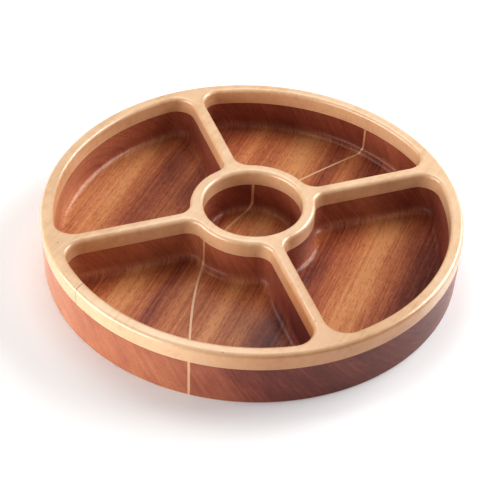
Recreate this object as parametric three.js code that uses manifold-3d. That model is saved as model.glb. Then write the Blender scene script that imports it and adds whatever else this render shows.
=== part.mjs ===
// Turned chip-and-dip server: a round mahogany block with a maple layer glued on top, routed
// out from above into four quarter compartments around a central dip bowl. A thin curved maple
// strip is let into the mahogany through its full height. Millimetres, +Z up, origin at the
// centre of the underside, the four dividers along +X, +Y, -X and -Y.
import * as THREE from "three";
import { mergeVertices } from "three/addons/utils/BufferGeometryUtils.js";
import Module from "manifold-3d";

const wasm = await Module();
wasm.setup();

// ---- driving dimensions -------------------------------------------------------------------
const inch = 25.4;
const outerRadius = 6 * inch;
const mahoganyHeight = 1.25 * inch;
const mapleThickness = 0.5 * inch;
const wall = 0.375 * inch; // rim, dividers and the ring round the bowl
const floorThickness = 0.375 * inch;
const bowlRadius = 36;
const outerCornerRadius = 14.5; // compartment corners at the rim
const innerCornerRadius = 12; // compartment corners at the bowl ring
const coveRadius = 0.25 * inch; // where a compartment wall meets its floor
const topRounding = 0.125 * inch; // round-over of every top edge
const baseEasing = 1.5; // round-over of the bottom edge
const glueLine = 0.3; // clearance kept between glued pieces

// The inlay strip lies like a thin lath that is pressed at its middle: tightest there, and
// easing to straight ends.
const inlayThickness = 1.6;
const inlayTightestRadius = 131; // bend radius at the middle of the strip
const inlayHalfSpan = 138; // from the middle to where the strip has become straight
const inlayAngle = THREE.MathUtils.degToRad(44.5); // heading of the strip at its middle
const inlayMiddleAlong = -10; // place of that middle, along the heading
const inlayMiddleAside = 21.5; // and to the left of it, from the server's axis

// The maple layer is two boards, edge-glued along their grain.
const seamDistance = 2 * inch; // from the server's axis
const seamNormalAngle = THREE.MathUtils.degToRad(129.5);

// ---- smoothness ---------------------------------------------------------------------------
const rimSegments = 120;
const bowlSegments = 48;
const outerArcSteps = 18;
const innerArcSteps = 7;
const cornerSteps = 6;
const roundingSteps = 4;
const inlaySteps = 40;

const totalHeight = mahoganyHeight + mapleThickness;
const clearAbove = 5; // how far cutting tools reach past the faces that they open
const quarterTurn = Math.PI / 2;

// ---- closed meshes to solids and back -----------------------------------------------------
function solidFrom(geometry) {
  geometry.deleteAttribute("normal");
  geometry.deleteAttribute("uv");
  const merged = mergeVertices(geometry, 1e-4);
  const corners = merged.index.array;
  const triangles = [];
  for (let i = 0; i < corners.length; i += 3) {
    const [a, b, c] = corners.slice(i, i + 3);
    if (a !== b && b !== c && c !== a) triangles.push(a, b, c);
  }
  return new wasm.Manifold(new wasm.Mesh({
    numProp: 3,
    vertProperties: new Float32Array(merged.attributes.position.array),
    triVerts: new Uint32Array(triangles),
  }));
}

function geometryFrom(solid) {
  const { vertProperties, triVerts } = solid.getMesh();
  const indexed = new THREE.BufferGeometry();
  indexed.setAttribute("position", new THREE.BufferAttribute(vertProperties, 3));
  indexed.setIndex(new THREE.BufferAttribute(triVerts, 1));
  const geometry = indexed.toNonIndexed();
  geometry.computeVertexNormals();
  return geometry;
}

// A solid turned about +Z from (radius, height) pairs that start and end on the axis.
function turned(profile, segments) {
  const points = profile.map(([radius, height]) => new THREE.Vector2(radius, height));
  return solidFrom(new THREE.LatheGeometry(points, segments).rotateX(quarterTurn));
}

// ---- edge profiles ------------------------------------------------------------------------
// How far each level of a routed hollow stands inside (-) or outside (+) its straight wall:
// a cove up from the floor, the wall, then a round-over that opens out to the top face.
function hollowLevels() {
  const levels = [];
  for (let i = 0; i <= roundingSteps; i += 1) {
    const turn = (i / roundingSteps) * quarterTurn;
    levels.push({
      height: floorThickness + coveRadius * (1 - Math.cos(turn)),
      outset: -coveRadius * (1 - Math.sin(turn)),
    });
  }
  for (let i = 0; i <= roundingSteps; i += 1) {
    const turn = (i / roundingSteps) * quarterTurn;
    levels.push({
      height: totalHeight - topRounding * (1 - Math.sin(turn)),
      outset: topRounding * (1 - Math.cos(turn)),
    });
  }
  levels.push({ height: totalHeight + clearAbove, outset: topRounding });
  return levels;
}

// The turned outside: eased bottom edge, straight side, rounded top edge.
function blankProfile() {
  const profile = [[0, 0]];
  for (let i = 0; i <= roundingSteps; i += 1) {
    const turn = (i / roundingSteps) * quarterTurn;
    profile.push([
      outerRadius - baseEasing * (1 - Math.sin(turn)),
      baseEasing * (1 - Math.cos(turn)),
    ]);
  }
  for (let i = 0; i <= roundingSteps; i += 1) {
    const turn = (i / roundingSteps) * quarterTurn;
    profile.push([
      outerRadius - topRounding * (1 - Math.cos(turn)),
      totalHeight - topRounding * (1 - Math.sin(turn)),
    ]);
  }
  profile.push([0, totalHeight]);
  return profile;
}

// ---- routed hollows -----------------------------------------------------------------------
function arcPoints(centre, radius, from, to, steps) {
  const points = [];
  for (let i = 0; i <= steps; i += 1) {
    const angle = from + ((to - from) * i) / steps;
    points.push(new THREE.Vector2(
      centre.x + radius * Math.cos(angle),
      centre.y + radius * Math.sin(angle),
    ));
  }
  return points;
}

// The corner circle that touches both the divider's face and a circle round the axis.
function cornerCentre(cornerRadius, distance) {
  const y = wall / 2 + cornerRadius;
  return new THREE.Vector2(Math.sqrt(distance * distance - y * y), y);
}

// The compartment between the +X and +Y dividers, counter-clockwise, moved out by `outset`.
function compartmentOutline(outset) {
  const rimInside = outerRadius - wall;
  const ringOutside = bowlRadius + wall;
  const outer = cornerCentre(outerCornerRadius, rimInside - outerCornerRadius);
  const inner = cornerCentre(innerCornerRadius, ringOutside + innerCornerRadius);
  const outerAngle = outer.angle();
  const innerAngle = inner.angle();
  const mirrored = (point) => new THREE.Vector2(point.y, point.x);
  const axis = new THREE.Vector2(0, 0);
  const outerCorner = outerCornerRadius + outset;
  const innerCorner = innerCornerRadius + outset;
  const halfTurn = Math.PI;
  const down = 3 * quarterTurn;
  const points = [
    ...arcPoints(inner, innerCorner, halfTurn + innerAngle, down, cornerSteps),
    ...arcPoints(outer, outerCorner, -quarterTurn, outerAngle, cornerSteps),
    ...arcPoints(axis, rimInside + outset, outerAngle, quarterTurn - outerAngle, outerArcSteps),
    ...arcPoints(mirrored(outer), outerCorner, quarterTurn - outerAngle, halfTurn, cornerSteps),
    ...arcPoints(mirrored(inner), innerCorner, halfTurn, down - innerAngle, cornerSteps),
    ...arcPoints(axis, ringOutside - outset, quarterTurn - innerAngle, innerAngle, innerArcSteps),
  ];
  return points.filter((point, i) => point.distanceTo(points.at(i - 1)) > 1e-6);
}

// A closed body through one outline per level, lowest first, with flat ends.
function lofted(outlines) {
  const count = outlines[0].points.length;
  const position = [];
  const index = [];
  for (const { points, height } of outlines) {
    for (const point of points) position.push(point.x, point.y, height);
  }
  for (let level = 0; level + 1 < outlines.length; level += 1) {
    for (let i = 0; i < count; i += 1) {
      const a = level * count + i;
      const b = level * count + ((i + 1) % count);
      index.push(a, b, b + count, a, b + count, a + count);
    }
  }
  const top = (outlines.length - 1) * count;
  for (const [a, b, c] of THREE.ShapeUtils.triangulateShape(outlines[0].points, [])) {
    index.push(a, c, b);
  }
  for (const [a, b, c] of THREE.ShapeUtils.triangulateShape(outlines.at(-1).points, [])) {
    index.push(top + a, top + b, top + c);
  }
  const geometry = new THREE.BufferGeometry();
  geometry.setAttribute("position", new THREE.Float32BufferAttribute(position, 3));
  geometry.setIndex(index);
  return geometry;
}

function compartmentTool(quarter) {
  const outlines = hollowLevels().map(({ height, outset }) => ({
    height,
    points: compartmentOutline(outset),
  }));
  return solidFrom(lofted(outlines).rotateZ(quarter * quarterTurn));
}

function bowlTool() {
  const levels = hollowLevels();
  const side = levels.map(({ height, outset }) => [bowlRadius + outset, height]);
  return turned([[0, levels[0].height], ...side, [0, levels.at(-1).height]], bowlSegments);
}

// ---- the inlay's run ----------------------------------------------------------------------
// A line that runs beside the inlay's middle line, `aside` to its left, from beyond one side
// of the server to beyond the other.
class InlayRun extends THREE.Curve {
  constructor(aside) {
    super();
    this.aside = aside;
  }

  getPoint(t) {
    const along = (2 * t - 1) * (outerRadius + 2 * clearAbove);
    const bent = Math.min(Math.abs(along), inlayHalfSpan);
    const straight = Math.abs(along) - bent;
    const slope = (bent - bent ** 2 / (2 * inlayHalfSpan)) / inlayTightestRadius;
    const bow = (bent ** 2 / 2 - bent ** 3 / (6 * inlayHalfSpan)) / inlayTightestRadius;
    const middle = new THREE.Vector2(along, -bow - slope * straight);
    const left = new THREE.Vector2(Math.sign(along) * slope, 1).normalize();
    return middle
      .addScaledVector(left, this.aside)
      .add(new THREE.Vector2(inlayMiddleAlong, inlayMiddleAside))
      .rotateAround(new THREE.Vector2(0, 0), inlayAngle);
  }
}

// ---- splitting the routed block into its pieces -------------------------------------------
function slab(foot, head) {
  const span = 2 * outerRadius + 2 * clearAbove;
  const box = new THREE.BoxGeometry(span, span, head - foot);
  return solidFrom(box.translate(0, 0, (foot + head) / 2));
}

// Everything on the hollow side of the bend, up to a line beside the inlay's middle line.
function insideBend(aside) {
  const run = new InlayRun(aside).getPoints(inlaySteps);
  const away = new THREE.Vector2(0, -2 * outerRadius)
    .rotateAround(new THREE.Vector2(0, 0), inlayAngle);
  const corners = [run.at(-1).clone().add(away), run[0].clone().add(away)];
  const depth = totalHeight + 2 * clearAbove;
  const tool = new THREE.ExtrudeGeometry(new THREE.Shape([...run, ...corners]), {
    depth,
    bevelEnabled: false,
  });
  return solidFrom(tool.translate(0, 0, -clearAbove));
}

function beyondSeam(distance) {
  const span = 4 * outerRadius;
  const box = new THREE.BoxGeometry(span, span, span).translate(distance + span / 2, 0, 0);
  return solidFrom(box.rotateZ(seamNormalAngle));
}

let routed = turned(blankProfile(), rimSegments).subtract(bowlTool());
for (let quarter = 0; quarter < 4; quarter += 1) {
  routed = routed.subtract(compartmentTool(quarter));
}

const mahogany = routed.intersect(slab(-clearAbove, mahoganyHeight - glueLine / 2));
const maple = routed.intersect(slab(mahoganyHeight + glueLine / 2, totalHeight + clearAbove));
const halfInlay = inlayThickness / 2;

const pieces = {
  mahogany_block_inside_bend: mahogany.intersect(insideBend(-halfInlay - glueLine)),
  mahogany_block_outside_bend: mahogany.subtract(insideBend(halfInlay + glueLine)),
  inlay_strip: mahogany.intersect(insideBend(halfInlay)).subtract(insideBend(-halfInlay)),
  maple_side_board: maple.intersect(beyondSeam(seamDistance + glueLine / 2)),
  maple_wide_board: maple.subtract(beyondSeam(seamDistance - glueLine / 2)),
};

// ---- finishes -----------------------------------------------------------------------------
function mahoganyFinish() {
  return new THREE.MeshStandardMaterial({ color: 0x8f4a2c, roughness: 0.38, metalness: 0 });
}

function mapleFinish() {
  return new THREE.MeshStandardMaterial({ color: 0xe8c69c, roughness: 0.4, metalness: 0 });
}

const group = new THREE.Group();
for (const [name, solid] of Object.entries(pieces)) {
  const finish = name.startsWith("mahogany") ? mahoganyFinish() : mapleFinish();
  const mesh = new THREE.Mesh(geometryFrom(solid), finish);
  mesh.name = name;
  group.add(mesh);
}

export default group;
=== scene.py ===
"""Chip and dip server: the looks. Everything is in metres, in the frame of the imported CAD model."""
import math

import bpy
from mathutils import Matrix, Vector


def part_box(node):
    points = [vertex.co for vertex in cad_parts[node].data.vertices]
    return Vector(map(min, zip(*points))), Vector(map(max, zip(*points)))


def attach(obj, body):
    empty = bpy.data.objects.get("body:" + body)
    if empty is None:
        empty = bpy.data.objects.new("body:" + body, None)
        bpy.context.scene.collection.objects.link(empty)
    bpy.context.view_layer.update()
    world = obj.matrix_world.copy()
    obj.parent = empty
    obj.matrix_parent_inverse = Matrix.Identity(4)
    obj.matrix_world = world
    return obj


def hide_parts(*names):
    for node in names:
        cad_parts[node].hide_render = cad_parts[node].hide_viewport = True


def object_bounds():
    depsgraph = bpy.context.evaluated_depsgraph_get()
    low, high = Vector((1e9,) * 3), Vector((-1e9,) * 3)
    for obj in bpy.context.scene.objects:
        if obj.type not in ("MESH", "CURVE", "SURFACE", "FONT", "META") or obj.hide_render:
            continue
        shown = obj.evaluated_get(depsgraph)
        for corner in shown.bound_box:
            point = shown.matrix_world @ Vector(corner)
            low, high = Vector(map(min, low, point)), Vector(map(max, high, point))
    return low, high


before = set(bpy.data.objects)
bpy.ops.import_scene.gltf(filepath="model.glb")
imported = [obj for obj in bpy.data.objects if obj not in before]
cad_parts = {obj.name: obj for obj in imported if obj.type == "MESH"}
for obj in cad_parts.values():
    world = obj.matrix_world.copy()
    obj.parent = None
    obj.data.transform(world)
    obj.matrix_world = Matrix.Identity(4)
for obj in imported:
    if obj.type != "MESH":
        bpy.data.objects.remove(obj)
cad_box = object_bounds()

# ---- sizes: the overall ones come from the frame, the rest are what the hollows are routed to ----
MM = 0.001
OUTER_RADIUS = (cad_box[1].x - cad_box[0].x) / 2
TOTAL_HEIGHT = cad_box[1].z
JOINT_HEIGHT = (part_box("inlay_strip")[1].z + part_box("maple_wide_board")[0].z) / 2
WALL = 9.525 * MM
FLOOR = 9.525 * MM
BOWL_RADIUS = 36 * MM
OUTER_CORNER = 14.5 * MM  # compartment corners at the rim
INNER_CORNER = 12 * MM  # compartment corners at the bowl's ring
COVE = 6.35 * MM
TOP_ROUNDING = 3.175 * MM
BASE_EASING = 1.5 * MM
GLUE_LINE = 0.05 * MM

# The inlay lies like a thin lath that is pressed at its middle.
INLAY_THICKNESS = 1.6 * MM
INLAY_TIGHTEST_RADIUS = 131 * MM
INLAY_HALF_SPAN = 138 * MM
INLAY_ANGLE = math.radians(44.5)
INLAY_MIDDLE = Vector((-10 * MM, 21.5 * MM))

# The seam between the two maple boards
SEAM_DISTANCE = 50.8 * MM
SEAM_NORMAL_ANGLE = math.radians(129.5)

# Fineness of the meshes
RIM_STEPS = 360
BOWL_STEPS = 144
OUTER_ARC_STEPS = 72
INNER_ARC_STEPS = 24
CORNER_STEPS = 16
ROUNDING_STEPS = 8
INLAY_STEPS = 160
TOOL_STEPS = 24
STAGE_STEPS = 64

# Shading: edges sharper than this stay crisp, and large faces lead at full weight
SHARP_ANGLE = math.radians(35)
FACE_WEIGHT = 100

CLEAR = 5 * MM  # how far a cutting tool reaches past the faces that it opens
QUARTER = math.pi / 2


# ---- closed meshes ---------------------------------------------------------------------------
def mesh_object(name, vertices, faces):
    mesh = bpy.data.meshes.new(name)
    mesh.from_pydata(vertices, [], faces)
    mesh.validate()
    obj = bpy.data.objects.new(name, mesh)
    bpy.context.scene.collection.objects.link(obj)
    return obj


def lofted(name, outlines, heights):
    """A closed body through one outline per height, lowest first, with flat ends."""
    count = len(outlines[0])
    vertices = [(x, y, z) for outline, z in zip(outlines, heights) for x, y in outline]
    faces = [tuple(range(count - 1, -1, -1))]
    for level in range(len(outlines) - 1):
        for i in range(count):
            a = level * count + i
            b = level * count + (i + 1) % count
            faces.append((a, b, b + count, a + count))
    top = (len(outlines) - 1) * count
    faces.append(tuple(range(top, top + count)))
    return mesh_object(name, vertices, faces)


def circle(radius, steps):
    turns = [2 * math.pi * i / steps for i in range(steps)]
    return [(radius * math.cos(turn), radius * math.sin(turn)) for turn in turns]


def arc(centre, radius, start, end, steps):
    angles = [start + (end - start) * i / steps for i in range(steps + 1)]
    return [(centre[0] + radius * math.cos(a), centre[1] + radius * math.sin(a)) for a in angles]


# ---- edge profiles: (height, how far the level stands off the straight wall) -------------------
def rounding_turns():
    return [QUARTER * i / ROUNDING_STEPS for i in range(ROUNDING_STEPS + 1)]


def top_rounding():
    return [
        (TOTAL_HEIGHT - TOP_ROUNDING * (1 - math.sin(turn)), TOP_ROUNDING * (1 - math.cos(turn)))
        for turn in rounding_turns()
    ]


def hollow_levels():
    """Up a routed wall, with outsets away from the hollow: cove, straight wall, round-over."""
    cove = [
        (FLOOR + COVE * (1 - math.cos(turn)), -COVE * (1 - math.sin(turn)))
        for turn in rounding_turns()
    ]
    return cove + top_rounding() + [(TOTAL_HEIGHT + CLEAR, TOP_ROUNDING)]


def outside_levels():
    """Up the turned outside, with insets towards the axis: eased foot, straight side, round-over."""
    foot = [
        (BASE_EASING * (1 - math.cos(turn)), BASE_EASING * (1 - math.sin(turn)))
        for turn in rounding_turns()
    ]
    return foot + top_rounding()


# ---- the blank and the tools that cut it -------------------------------------------------------
def turned_blank():
    outlines = [circle(OUTER_RADIUS - inset, RIM_STEPS) for _, inset in outside_levels()]
    return lofted("blank", outlines, [height for height, _ in outside_levels()])


def bowl_tool():
    outlines = [circle(BOWL_RADIUS + outset, BOWL_STEPS) for _, outset in hollow_levels()]
    return lofted("bowl_tool", outlines, [height for height, _ in hollow_levels()])


def corner_centre(corner_radius, distance):
    """The centre of a corner that touches a divider's face, at a distance from the axis."""
    y = WALL / 2 + corner_radius
    return math.sqrt(distance ** 2 - y ** 2), y


def compartment_outline(outset):
    """The compartment between the +X and +Y dividers, counter-clockwise, moved out by outset."""
    rim = OUTER_RADIUS - WALL
    ring = BOWL_RADIUS + WALL
    outer = corner_centre(OUTER_CORNER, rim - OUTER_CORNER)
    inner = corner_centre(INNER_CORNER, ring + INNER_CORNER)
    outer_angle = math.atan2(outer[1], outer[0])
    inner_angle = math.atan2(inner[1], inner[0])
    big = OUTER_CORNER + outset
    small = INNER_CORNER + outset
    down = 3 * QUARTER
    stretches = [
        arc(inner, small, math.pi + inner_angle, down, CORNER_STEPS),
        arc(outer, big, -QUARTER, outer_angle, CORNER_STEPS),
        arc((0, 0), rim + outset, outer_angle, QUARTER - outer_angle, OUTER_ARC_STEPS),
        arc(outer[::-1], big, QUARTER - outer_angle, math.pi, CORNER_STEPS),
        arc(inner[::-1], small, math.pi, down - inner_angle, CORNER_STEPS),
        arc((0, 0), ring - outset, QUARTER - inner_angle, inner_angle, INNER_ARC_STEPS),
    ]
    same_place = 1e-7
    points = [point for stretch in stretches for point in stretch]
    return [p for i, p in enumerate(points) if math.dist(p, points[i - 1]) > same_place]


def compartment_tool(quarter):
    outlines = [compartment_outline(outset) for _, outset in hollow_levels()]
    tool = lofted("compartment_tool", outlines, [height for height, _ in hollow_levels()])
    tool.data.transform(Matrix.Rotation(quarter * QUARTER, 4, "Z"))
    return tool


def slab_tool(low, high):
    outline = circle(OUTER_RADIUS + CLEAR, TOOL_STEPS)
    return lofted("slab_tool", [outline, outline], [low, high])


def inlay_point(along, aside):
    """A point beside the inlay's middle line, which bends like a lath pressed at its middle."""
    bent = min(abs(along), INLAY_HALF_SPAN)
    slope = (bent - bent ** 2 / (2 * INLAY_HALF_SPAN)) / INLAY_TIGHTEST_RADIUS
    bow = (bent ** 2 / 2 - bent ** 3 / (6 * INLAY_HALF_SPAN)) / INLAY_TIGHTEST_RADIUS
    middle = Vector((along, -bow - slope * (abs(along) - bent)))
    left = Vector((math.copysign(slope, along), 1)).normalized()
    point = middle + left * aside + INLAY_MIDDLE
    return point @ Matrix.Rotation(-INLAY_ANGLE, 2)


def bend_tool(aside):
    """Everything on the hollow side of the bend, up to a line beside the inlay's middle line."""
    reach = OUTER_RADIUS + 2 * CLEAR
    run = [inlay_point(reach * (2 * i / INLAY_STEPS - 1), aside) for i in range(INLAY_STEPS + 1)]
    away = Vector((0, -2 * OUTER_RADIUS)) @ Matrix.Rotation(-INLAY_ANGLE, 2)
    outline = [(x, y) for x, y in run + [run[-1] + away, run[0] + away]]
    outline.reverse()
    return lofted("bend_tool", [outline, outline], [-CLEAR, TOTAL_HEIGHT + CLEAR])


def seam_tool(distance):
    """Everything beyond the seam between the two maple boards."""
    span = 2 * OUTER_RADIUS
    far = distance + span
    outline = [(distance, -span), (far, -span), (far, span), (distance, span)]
    tool = lofted("seam_tool", [outline, outline], [-CLEAR, TOTAL_HEIGHT + CLEAR])
    tool.data.transform(Matrix.Rotation(SEAM_NORMAL_ANGLE, 4, "Z"))
    return tool


# ---- cutting ---------------------------------------------------------------------------------
def cut(body, tool, operation):
    """Cuts body's mesh with the tool, and removes the tool."""
    boolean = body.modifiers.new("cut", "BOOLEAN")
    boolean.operation = operation
    boolean.solver = "MANIFOLD"
    boolean.object = tool
    graph = bpy.context.evaluated_depsgraph_get()
    mesh = bpy.data.meshes.new_from_object(body.evaluated_get(graph))
    body.modifiers.clear()
    body.data = mesh
    bpy.data.objects.remove(tool)
    return body


def part_of(body, name, tool, operation):
    """A named copy of body after one cut."""
    twin = bpy.data.objects.new(name, body.data.copy())
    bpy.context.scene.collection.objects.link(twin)
    return cut(twin, tool, operation)


def routed_blank():
    body = turned_blank()
    cut(body, bowl_tool(), "DIFFERENCE")
    for quarter in range(4):
        cut(body, compartment_tool(quarter), "DIFFERENCE")
    return body


def make_pieces():
    """The routed blank, split at the glue lines into its five pieces."""
    gap = GLUE_LINE / 2
    strip = INLAY_THICKNESS / 2
    routed = routed_blank()
    below = slab_tool(-CLEAR, JOINT_HEIGHT - gap)
    mahogany = part_of(routed, "mahogany", below, "INTERSECT")
    above = slab_tool(JOINT_HEIGHT + gap, TOTAL_HEIGHT + CLEAR)
    maple = part_of(routed, "maple", above, "INTERSECT")

    inside = part_of(mahogany, "mahogany_inside_bend", bend_tool(-strip - gap), "INTERSECT")
    outside = part_of(mahogany, "mahogany_outside_bend", bend_tool(strip + gap), "DIFFERENCE")
    inlay = part_of(mahogany, "inlay", bend_tool(strip), "INTERSECT")
    cut(inlay, bend_tool(-strip), "DIFFERENCE")
    side = part_of(maple, "maple_side", seam_tool(SEAM_DISTANCE + gap), "INTERSECT")
    wide = part_of(maple, "maple_wide", seam_tool(SEAM_DISTANCE - gap), "DIFFERENCE")
    for spare in (routed, mahogany, maple):
        bpy.data.objects.remove(spare)
    return inside, outside, inlay, side, wide


def smooth(piece):
    """Smooth shading that stays crisp at sharp edges and flat on the flat faces."""
    piece.data.polygons.foreach_set("use_smooth", [True] * len(piece.data.polygons))
    piece.data.set_sharp_from_angle(angle=SHARP_ANGLE)
    weighted = piece.modifiers.new("flat_faces_lead", "WEIGHTED_NORMAL")
    weighted.mode = "FACE_AREA"
    weighted.weight = FACE_WEIGHT
    weighted.keep_sharp = True


# ---- node trees ------------------------------------------------------------------------------
MIX_COLOUR_INPUTS = (6, 7)  # where a Mix node keeps its two colours
MIX_COLOUR_OUTPUT = 2

# The upward part of a surface's normal, below which it is a wall and above which it is level
WALL_BELOW = 0.45
LEVEL_ABOVE = 0.98

GRAIN_DEPTH = 0.03 * MM
GRAIN_STRENGTH = 0.5


class Tree:
    """Short calls that build the node tree of one material."""

    def __init__(self, name):
        self.material = bpy.data.materials.new(name)
        self.material.use_nodes = True
        self.nodes = self.material.node_tree.nodes
        self.links = self.material.node_tree.links
        self.shader = self.nodes["Principled BSDF"]

    def feed(self, socket, value):
        """Links a socket to another, or sets it to a number, a vector or a plain colour."""
        if isinstance(value, bpy.types.NodeSocket):
            self.links.new(value, socket)
        elif socket.type == "RGBA":
            socket.default_value = (*value, 1)
        else:
            socket.default_value = value

    def node(self, kind, *values, **settings):
        made = self.nodes.new(kind)
        for name, value in settings.items():
            setattr(made, name, value)
        for socket, value in zip(made.inputs, values):
            self.feed(socket, value)
        return made

    def finish(self, settings):
        """Sets what is the same all over the surface."""
        for socket, value in settings.items():
            self.feed(self.shader.inputs[socket], value)

    def math(self, operation, *values, clamp=False):
        return self.node("ShaderNodeMath", *values, operation=operation, use_clamp=clamp).outputs[0]

    def spread(self, value, amount):
        """A 0 to 1 value as an offset of up to half the amount either way."""
        return self.math("MULTIPLY_ADD", value, amount, -amount / 2)

    def layered(self, start, *layers):
        """A value with several layers on it, each a 0 to 1 value and the amount to spread it by."""
        total = start
        for layer, amount in layers:
            total = self.math("ADD", total, self.spread(layer, amount))
        return total

    def in_cells(self, vector, cell):
        """A place counted in cells of the given size along, across and up."""
        per_unit = tuple(1 / size for size in cell)
        return self.node("ShaderNodeVectorMath", vector, per_unit, operation="MULTIPLY").outputs[0]

    def noise(self, vector, cell, detail=3.0, roughness=0.5):
        made = self.node("ShaderNodeTexNoise")
        self.feed(made.inputs["Vector"], self.in_cells(vector, cell))
        self.feed(made.inputs["Scale"], 1.0)
        self.feed(made.inputs["Detail"], detail)
        self.feed(made.inputs["Roughness"], roughness)
        return made.outputs["Fac"]

    def flecks(self, vector, cell, rarity, radius):
        """Small round marks, one in each cell whose random number is above the rarity."""
        cells = self.node("ShaderNodeTexVoronoi")
        self.feed(cells.inputs["Vector"], self.in_cells(vector, cell))
        self.feed(cells.inputs["Scale"], 1.0)
        chosen = self.math("GREATER_THAN", cells.outputs["Color"], rarity)
        inward = self.math("MULTIPLY", cells.outputs["Distance"], -1)
        return self.math("MULTIPLY", chosen, self.between(inward, -radius, -radius / 2))

    def ramp(self, value, stops):
        made = self.node("ShaderNodeValToRGB", value)
        elements = made.color_ramp.elements
        elements[0].position = stops[0][0]
        elements[1].position = stops[-1][0]
        for position, _ in stops[1:-1]:
            elements.new(position)
        for element, (_, colour) in zip(elements, stops):
            element.color = (*colour, 1)
        return made.outputs["Color"]

    def between(self, value, low, high):
        """0 below low, 1 above high, smooth in between."""
        made = self.node("ShaderNodeMapRange", value, low, high, interpolation_type="SMOOTHSTEP")
        return made.outputs["Result"]

    def mix(self, amount, first, second, blend="MIX"):
        made = self.node("ShaderNodeMix", amount, data_type="RGBA", blend_type=blend)
        for index, colour in zip(MIX_COLOUR_INPUTS, (first, second)):
            self.feed(made.inputs[index], colour)
        return made.outputs[MIX_COLOUR_OUTPUT]

    def tint(self, amount, colour, factor):
        """The colour times a factor, by an amount from 0, not at all, to 1, fully."""
        return self.mix(amount, colour, factor, blend="MULTIPLY")

    def level(self):
        """1 where the surface lies flat, 0 where it stands upright."""
        normal = self.node("ShaderNodeTexCoord").outputs["Normal"]
        upward = self.node("ShaderNodeSeparateXYZ", normal).outputs[2]
        return self.between(self.math("ABSOLUTE", upward), WALL_BELOW, LEVEL_ABOVE)

    def relief(self, height):
        """Raises and sinks the surface with the grain."""
        bump = self.node("ShaderNodeBump")
        self.feed(bump.inputs["Height"], height)
        self.feed(bump.inputs["Distance"], GRAIN_DEPTH)
        self.feed(bump.inputs["Strength"], GRAIN_STRENGTH)
        self.feed(self.shader.inputs["Normal"], bump.outputs[0])


def grey(tone):
    return tone, tone, tone


# ---- wood ------------------------------------------------------------------------------------
# Wood is a solid texture in millimetres: x along the grain, y across it to the left, z up.
MAHOGANY_HEADING = math.radians(48.5)
MAPLE_HEADING = SEAM_NORMAL_ANGLE - QUARTER
MAHOGANY_LEAN = 0.55  # how far a growth band leans sideways per millimetre of height
MAHOGANY_SWAY = 1.5  # the width in millimetres that a band wanders within
HALF_WIDTH_MM = OUTER_RADIUS / MM
FLOOR_MM = FLOOR / MM
JOINT_MM = JOINT_HEIGHT / MM
SEAM_MM = SEAM_DISTANCE / MM

# Tones of the mahogany, from 0 dark to 1 light
DEEP = 0.2
DARK = 0.4
MIDDLE = 0.6
LIGHT = 0.8
PALE = 1.0

# The ribbons on the level surfaces: (millimetres across the grain, tone). The two sides of the
# block look the same all along the grain, and its middle differs from its near end to its far end.
# the DEEP tones at -130 and at -50 are partly dark ribbons and partly painted shade beside the walls
RIGHT_RIBBONS = [(-130, DEEP), (-90, PALE), (-60, DARK)]
LEFT_RIBBONS = [(75, MIDDLE), (90, DARK), (115, PALE), (135, LIGHT)]
NEAR_MIDDLE = [
    (-50, DEEP), (-30, LIGHT), (-20, MIDDLE), (-10, PALE),
    (5, MIDDLE), (20, LIGHT), (35, DARK), (50, LIGHT), (65, PALE),
]
FAR_MIDDLE = [
    (-55, DARK), (-40, LIGHT), (-25, DARK), (0, PALE),
    (30, MIDDLE), (40, LIGHT), (50, MIDDLE), (65, DARK),
]
NEAR_RIBBONS = RIGHT_RIBBONS + NEAR_MIDDLE + LEFT_RIBBONS
FAR_RIBBONS = RIGHT_RIBBONS + FAR_MIDDLE + LEFT_RIBBONS
NEAR_TO_FAR = 30.0  # the near ribbons change into the far ones within this of the middle

# The same on the upright surfaces of each block, where the ribbons run out
# these wall tones are partly the wood's own and partly painted shade
INSIDE_NEAR_WALLS = [(-75, DEEP), (-50, DARK), (-20, MIDDLE)]
INSIDE_FAR_WALLS = [(-110, DARK), (-80, MIDDLE), (60, DARK)]
OUTSIDE_NEAR_WALLS = [(-60, MIDDLE), (140, LIGHT)]
OUTSIDE_FAR_WALLS = [(20, DARK), (140, MIDDLE)]

# Colours of the mahogany
MAHOGANY_TONES = [
    (0.0, (0.105, 0.017, 0.010)),
    (0.25, (0.215, 0.044, 0.023)),
    (0.5, (0.385, 0.112, 0.050)),
    (0.75, (0.545, 0.205, 0.082)),
    (1.0, (0.690, 0.335, 0.145)),
]
# painted reflection: a bluish veil of reflected light on the mahogany's upright faces
MAHOGANY_WALL_PAINTED_VEIL = (0.97, 1.01, 1.28)
PORE_COLOUR = (0.10, 0.022, 0.009)
MAHOGANY_GLUE_COLOUR = (0.08, 0.016, 0.008)

PORE_RANGE = (0.58, 0.70)  # pore noise from where a pore starts to where it is full
PORE_COVER = 0.38
MAHOGANY_GLUE_COVER = 0.6
GLUE_STARTS = 0.6  # millimetres below the joint, where its dark line starts and is full
GLUE_FULL = 0.1
WALL_DETAIL = 0.5  # how much of the fine detail the walls show
FIBRE_RELIEF = 0.35
MAHOGANY_ROUGHNESS = 0.28
FIBRE_ROUGHNESS = 0.16  # what fibres and pores add to the roughness
PORE_ROUGHNESS = 0.15

# Colours of the maple
MAPLE_TONES = [
    (0.0, (0.640, 0.400, 0.225)),
    (0.5, (0.790, 0.560, 0.365)),
    (1.0, (0.850, 0.650, 0.460)),
]
# painted shade: the maple's upright faces are darker and more orange than its level ones
MAPLE_WALL_PAINTED_SHADE = (1.0, 0.93, 0.86)
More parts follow.
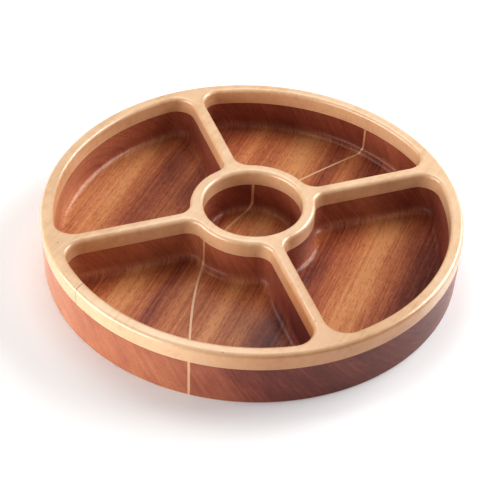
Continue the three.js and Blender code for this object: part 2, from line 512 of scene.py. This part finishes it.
# painted shade: the brown that darkens the upright faces at the near right of the wide board
FRONT_SHADE_TINT = (0.76, 0.57, 0.43)
FLECK_COLOUR = (0.22, 0.10, 0.05)
SEAM_COLOUR = (0.16, 0.08, 0.05)
WIDE_BOARD_TINT = (1.0, 1.0, 1.0)
SIDE_BOARD_TINT = (1.0, 0.98, 0.96)
INLAY_TINT = (0.97, 0.90, 0.84)
FLECK_COVER = 0.55
CURL_RELIEF = 0.8
MAPLE_ROUGHNESS = 0.26
STREAK_ROUGHNESS = 0.12  # what streaks add to the roughness

# Painted shade comes in over these millimetres right of the middle, and nearer than the middle.
FRONT_SHADE_RIGHT = (20.0, 90.0)
FRONT_SHADE_NEAR = (-20.0, 60.0)
FRONT_SHADE_ON_TOP = 0.4  # how much of it the level surfaces show

# The seam's line is full and then gone at these millimetres from its middle.
SEAM_FADES = (0.1, 0.45)
SEAM_OPENS = (122.0, 140.0)  # millimetres nearer than the middle, over which it turns dark
SEAM_FAINT = 0.05
SEAM_DARKENING = 0.75

# Both woods are under a satin varnish, with a weaker shine on the mahogany.
MAHOGANY_FINISH = {
    "Specular IOR Level": 0.35,
    "Coat Weight": 0.25,
    "Coat Roughness": 0.13,
    "Sheen Weight": 0.06,
    "Sheen Roughness": 0.5,
}
MAPLE_FINISH = {
    "Coat Weight": 0.8,
    "Coat Roughness": 0.2,
    "Sheen Weight": 0.05,
    "Sheen Roughness": 0.5,
}


def wood_space(tree, heading, lean=0.0, sway=0.0):
    """(position in wood millimetres, along, across, up), with the bands leaning and wandering."""
    place = tree.node("ShaderNodeTexCoord").outputs["Object"]
    turned = tree.node("ShaderNodeMapping", place, vector_type="POINT")
    tree.feed(turned.inputs["Rotation"], (0, 0, -heading))
    tree.feed(turned.inputs["Scale"], (1 / MM, 1 / MM, 1 / MM))
    along, across, up = tree.node("ShaderNodeSeparateXYZ", turned.outputs[0]).outputs
    wander = tree.noise(turned.outputs[0], cell=(110, 45, 60), detail=2.0)
    leaning = tree.math("MULTIPLY_ADD", up, -lean, lean * FLOOR_MM)
    across = tree.math("ADD", tree.math("ADD", across, leaning), tree.spread(wander, sway))
    joined = tree.node("ShaderNodeCombineXYZ", along, across, up)
    return joined.outputs[0], along, across, up


def band_tone(tree, across, bands):
    half = 0.5 / HALF_WIDTH_MM
    place = tree.math("MULTIPLY_ADD", across, half, 0.5)
    return tree.ramp(place, [(0.5 + mm * half, grey(tone)) for mm, tone in bands])


def figure_tone(tree, along, across, near_bands, far_bands):
    """The bands at one end of the board, changing gently into those at its other end."""
    far = tree.between(along, -NEAR_TO_FAR, NEAR_TO_FAR)
    near_tone = band_tone(tree, across, near_bands)
    return tree.mix(far, near_tone, band_tone(tree, across, far_bands))


def mahogany_material(name, near_walls, far_walls):
    """Ribbon-striped mahogany with fine pores, under a satin varnish."""
    tree = Tree(name)
    space, along, across, up = wood_space(tree, MAHOGANY_HEADING, MAHOGANY_LEAN, MAHOGANY_SWAY)
    level = tree.level()
    upright = tree.math("SUBTRACT", 1.0, level)
    strength = tree.math("MULTIPLY_ADD", level, 1 - WALL_DETAIL, WALL_DETAIL)

    ribbons = figure_tone(tree, along, across, NEAR_RIBBONS, FAR_RIBBONS)
    walls = figure_tone(tree, along, across, near_walls, far_walls)
    cloud = tree.noise(space, cell=(60, 14, 18), detail=2.0)
    tone = tree.layered(tree.mix(level, walls, ribbons), (cloud, 0.35))

    streaks = tree.noise(space, cell=(150, 1.9, 40), detail=4.0, roughness=0.62)
    fibres = tree.noise(space, cell=(9.0, 0.6, 5.0), roughness=0.6)
    speckle = tree.noise(space, cell=(4.0, 0.6, 2.2), detail=2.0, roughness=0.6)
    ripple = tree.noise(space, cell=(5.0, 12.0, 20.0), detail=2.0)
    fine = tree.layered(0.0, (streaks, 0.85), (fibres, 0.45), (speckle, 0.5), (ripple, 0.15))
    tone = tree.math("MULTIPLY_ADD", fine, strength, tone, clamp=True)
    # painted reflection: the upright faces get a bluish veil
    colour = tree.tint(upright, tree.ramp(tone, MAHOGANY_TONES), MAHOGANY_WALL_PAINTED_VEIL)

    pores = tree.noise(space, cell=(5.0, 0.7, 1.6), detail=1.0)
    pitted = tree.math("MULTIPLY", tree.between(pores, *PORE_RANGE), strength)
    colour = tree.mix(tree.math("MULTIPLY", pitted, PORE_COVER), colour, PORE_COLOUR)
    glue = tree.between(up, JOINT_MM - GLUE_STARTS, JOINT_MM - GLUE_FULL)
    covered = tree.math("MULTIPLY", glue, MAHOGANY_GLUE_COVER)
    colour = tree.mix(covered, colour, MAHOGANY_GLUE_COLOUR)

    tree.feed(tree.shader.inputs["Base Color"], colour)
    roughness = tree.math("MULTIPLY_ADD", fibres, FIBRE_ROUGHNESS, MAHOGANY_ROUGHNESS)
    roughness = tree.math("MULTIPLY_ADD", pitted, PORE_ROUGHNESS, roughness)
    tree.feed(tree.shader.inputs["Roughness"], roughness)
    tree.relief(tree.math("SUBTRACT", tree.math("MULTIPLY", fibres, FIBRE_RELIEF), pitted))
    tree.finish(MAHOGANY_FINISH)
    return tree.material


def front_shade_mask(tree, along, across, level):
    """Painted shade: 1 on the upright surfaces at the near right of the board, and less on the level
    ones.
    """
    right = tree.between(tree.math("MULTIPLY", across, -1), *FRONT_SHADE_RIGHT)
    near = tree.between(tree.math("MULTIPLY", along, -1), *FRONT_SHADE_NEAR)
    shown = tree.math("MULTIPLY_ADD", level, FRONT_SHADE_ON_TOP - 1, 1.0)
    return tree.math("MULTIPLY", tree.math("MULTIPLY", right, near), shown)


def seam_line(tree, along, across):
    """The glue line between the two maple boards, faint but for its open near end."""
    from_seam = tree.math("ABSOLUTE", tree.math("SUBTRACT", across, SEAM_MM))
    line = tree.math("SUBTRACT", 1.0, tree.between(from_seam, *SEAM_FADES))
    opened = tree.between(tree.math("MULTIPLY", along, -1), *SEAM_OPENS)
    cover = tree.math("MULTIPLY_ADD", opened, SEAM_DARKENING, SEAM_FAINT)
    return tree.math("MULTIPLY", line, cover)


def maple_material(name, board_tint, middle_tone, front_shade=0.0):
    """Pale, close-grained maple under a satin varnish, with any painted shade browning its near right
    faces.
    """
    tree = Tree(name)
    space, along, across, _ = wood_space(tree, MAPLE_HEADING)
    level = tree.level()
    upright = tree.math("SUBTRACT", 1.0, level)

    streaks = tree.noise(space, cell=(90, 3.5, 4.5), detail=4.0, roughness=0.6)
    lines = tree.noise(space, cell=(45, 0.8, 1.3), detail=2.0)
    curl = tree.noise(space, cell=(5.0, 20.0, 14.0), detail=2.0)
    cloud = tree.noise(space, cell=(50, 22, 26), detail=2.0)
    tone = tree.layered(middle_tone, (streaks, 0.7), (lines, 0.35), (curl, 0.45), (cloud, 0.6))
    # painted shade on the upright faces
    colour = tree.tint(upright, tree.ramp(tone, MAPLE_TONES), MAPLE_WALL_PAINTED_SHADE)
    colour = tree.tint(1.0, colour, board_tint)

    shade_mask = front_shade_mask(tree, along, across, level)
    # painted shade: browner on the upright faces at the near right of the wide board
    colour = tree.tint(tree.math("MULTIPLY", shade_mask, front_shade), colour, FRONT_SHADE_TINT)
    marked = tree.flecks(space, cell=(9.0, 6.0, 7.0), rarity=0.80, radius=0.13)
    colour = tree.mix(tree.math("MULTIPLY", marked, FLECK_COVER), colour, FLECK_COLOUR)
    colour = tree.mix(seam_line(tree, along, across), colour, SEAM_COLOUR)

    tree.feed(tree.shader.inputs["Base Color"], colour)
    roughness = tree.math("MULTIPLY_ADD", streaks, STREAK_ROUGHNESS, MAPLE_ROUGHNESS)
    tree.feed(tree.shader.inputs["Roughness"], roughness)
    tree.relief(tree.math("ADD", lines, tree.math("MULTIPLY", curl, CURL_RELIEF)))
    tree.finish(MAPLE_FINISH)
    return tree.material


# ---- camera, light and stage -------------------------------------------------------------------
# Directions are (degrees round from +X, degrees up), seen from the object's base.
CAMERA_DIRECTION = (-111.3, 41.63)
CAMERA_DISTANCE = 5.8139 * OUTER_RADIUS
CAMERA_ROLL = math.radians(2.80)
CAMERA_DIP = -0.0018  # radians up from the middle of the base, so it looks a little below that
CAMERA_PAN = 0.0006  # radians to the left of it
SENSOR = 36.0  # millimetres, as is the lens
LENS = 85.31

# Soft lights: name, direction, width and height in metres, and watts
SOFT_LIGHTS = [
    ("left", (181, 13), (1.5, 0.6), 21.5),
    ("right", (4, 34), (1.1, 0.8), 20),
    ("back", (90, 63), (0.9, 0.7), 6),
]
LIGHT_DISTANCE = 1.4
FILL = 0.30  # strength of the even light from all round
VIEW_GAMMA = 0.8

FLOOR_RADIUS = 6.0
FLOOR_DEPTH = 0.02
FLOOR_ROUGHNESS = 0.8
PAPER_CELL = (0.3, 0.3, 0.3)
PAPER_TONES = [(0.0, grey(0.84)), (1.0, grey(0.88))]
GLOW_STARTS = 0.3  # metres from the axis
GLOW_ENDS = 1.6
NEAR_GLOW = 0.14
FAR_GLOW = 0.8
BACKDROP_HEIGHT = 3.0
WHITE = (1, 1, 1)


def around(direction, distance):
    turn, rise = (math.radians(degrees) for degrees in direction)
    flat = Vector((math.cos(turn), math.sin(turn), 0))
    return distance * (math.cos(rise) * flat + Vector((0, 0, math.sin(rise))))


def make_camera():
    data = bpy.data.cameras.new("camera")
    data.sensor_width = SENSOR
    data.lens = LENS
    camera = bpy.data.objects.new("camera", data)
    bpy.context.scene.collection.objects.link(camera)
    place = around(CAMERA_DIRECTION, CAMERA_DISTANCE)
    aim = (-place).to_track_quat("-Z", "Y").to_matrix().to_4x4()
    turn = Matrix.Rotation(CAMERA_DIP, 4, "X") @ Matrix.Rotation(CAMERA_PAN, 4, "Y")
    roll = Matrix.Rotation(CAMERA_ROLL, 4, "Z")
    camera.matrix_world = Matrix.Translation(place) @ aim @ turn @ roll
    bpy.context.scene.camera = camera


def softbox(name, direction, size, power):
    data = bpy.data.lights.new(name, "AREA")
    data.shape = "RECTANGLE"
    data.size, data.size_y = size
    data.energy = power
    lamp = bpy.data.objects.new(name, data)
    bpy.context.scene.collection.objects.link(lamp)
    lamp.location = around(direction, LIGHT_DISTANCE)
    lamp.rotation_euler = (-lamp.location).to_track_quat("-Z", "Y").to_euler()


def make_light():
    world = bpy.data.worlds.new("studio")
    world.use_nodes = True
    background = world.node_tree.nodes["Background"]
    background.inputs["Color"].default_value = (*WHITE, 1)
    background.inputs["Strength"].default_value = FILL
    bpy.context.scene.world = world
    settings = bpy.context.scene.view_settings
    settings.view_transform = "Standard"
    settings.gamma = VIEW_GAMMA
    for light in SOFT_LIGHTS:
        softbox(*light)


def make_floor():
    """A pale floor that glows a little, and more with distance, so that it stays pale all over."""
    floor = lofted("floor", [circle(FLOOR_RADIUS, STAGE_STEPS)] * 2, [-FLOOR_DEPTH, 0])
    tree = Tree("floor_white")
    place = tree.node("ShaderNodeTexCoord").outputs["Object"]
    paper = tree.ramp(tree.noise(place, PAPER_CELL), PAPER_TONES)
    tree.feed(tree.shader.inputs["Base Color"], paper)
    tree.finish({"Roughness": FLOOR_ROUGHNESS, "Emission Color": WHITE})
    distance = tree.node("ShaderNodeVectorMath", place, operation="LENGTH").outputs["Value"]
    reach = (distance, GLOW_STARTS, GLOW_ENDS, NEAR_GLOW, FAR_GLOW)
    glow = tree.node("ShaderNodeMapRange", *reach).outputs["Result"]
    tree.feed(tree.shader.inputs["Emission Strength"], glow)
    floor.data.materials.append(tree.material)


def make_backdrop():
    """A pale wall round the floor for low views. It is only seen, so the light passes it."""
    foot = -2 * FLOOR_DEPTH
    wall = lofted("backdrop", [circle(FLOOR_RADIUS, STAGE_STEPS)] * 2, [foot, BACKDROP_HEIGHT])
    tree = Tree("backdrop_white")
    tree.finish({"Emission Color": WHITE, "Emission Strength": 1.0})
    wall.data.materials.append(tree.material)
    wall.visible_diffuse = False
    wall.visible_glossy = False
    wall.visible_transmission = False
    wall.visible_shadow = False


# ---- the scene -----------------------------------------------------------------------------------
STANDS_FOR = {
    "mahogany_inside_bend": ("mahogany_block_inside_bend", "mahogany"),
    "mahogany_outside_bend": ("mahogany_block_outside_bend", "mahogany"),
    "inlay": ("inlay_strip", "maple_inlay"),
    "maple_side": ("maple_side_board", "maple_top"),
    "maple_wide": ("maple_wide_board", "maple_top"),
}
LOOKS = {
    "mahogany_inside_bend": mahogany_material(
        "mahogany_inside", INSIDE_NEAR_WALLS, INSIDE_FAR_WALLS),
    "mahogany_outside_bend": mahogany_material(
        "mahogany_outside", OUTSIDE_NEAR_WALLS, OUTSIDE_FAR_WALLS),
    "inlay": maple_material("maple_inlay", INLAY_TINT, middle_tone=0.5),
    "maple_side": maple_material("maple_side", SIDE_BOARD_TINT, middle_tone=0.46),
    # the wide board carries the painted shade at its near right
    "maple_wide": maple_material("maple_wide", WIDE_BOARD_TINT, middle_tone=0.54, front_shade=1.0),
}
for piece in make_pieces():
    node, slot = STANDS_FOR[piece.name]
    smooth(piece)
    piece.data.materials.clear()
    piece.data.materials.append(LOOKS[piece.name])
    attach(piece, "root")
    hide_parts(node)

make_camera()
make_light()
make_floor()
make_backdrop()
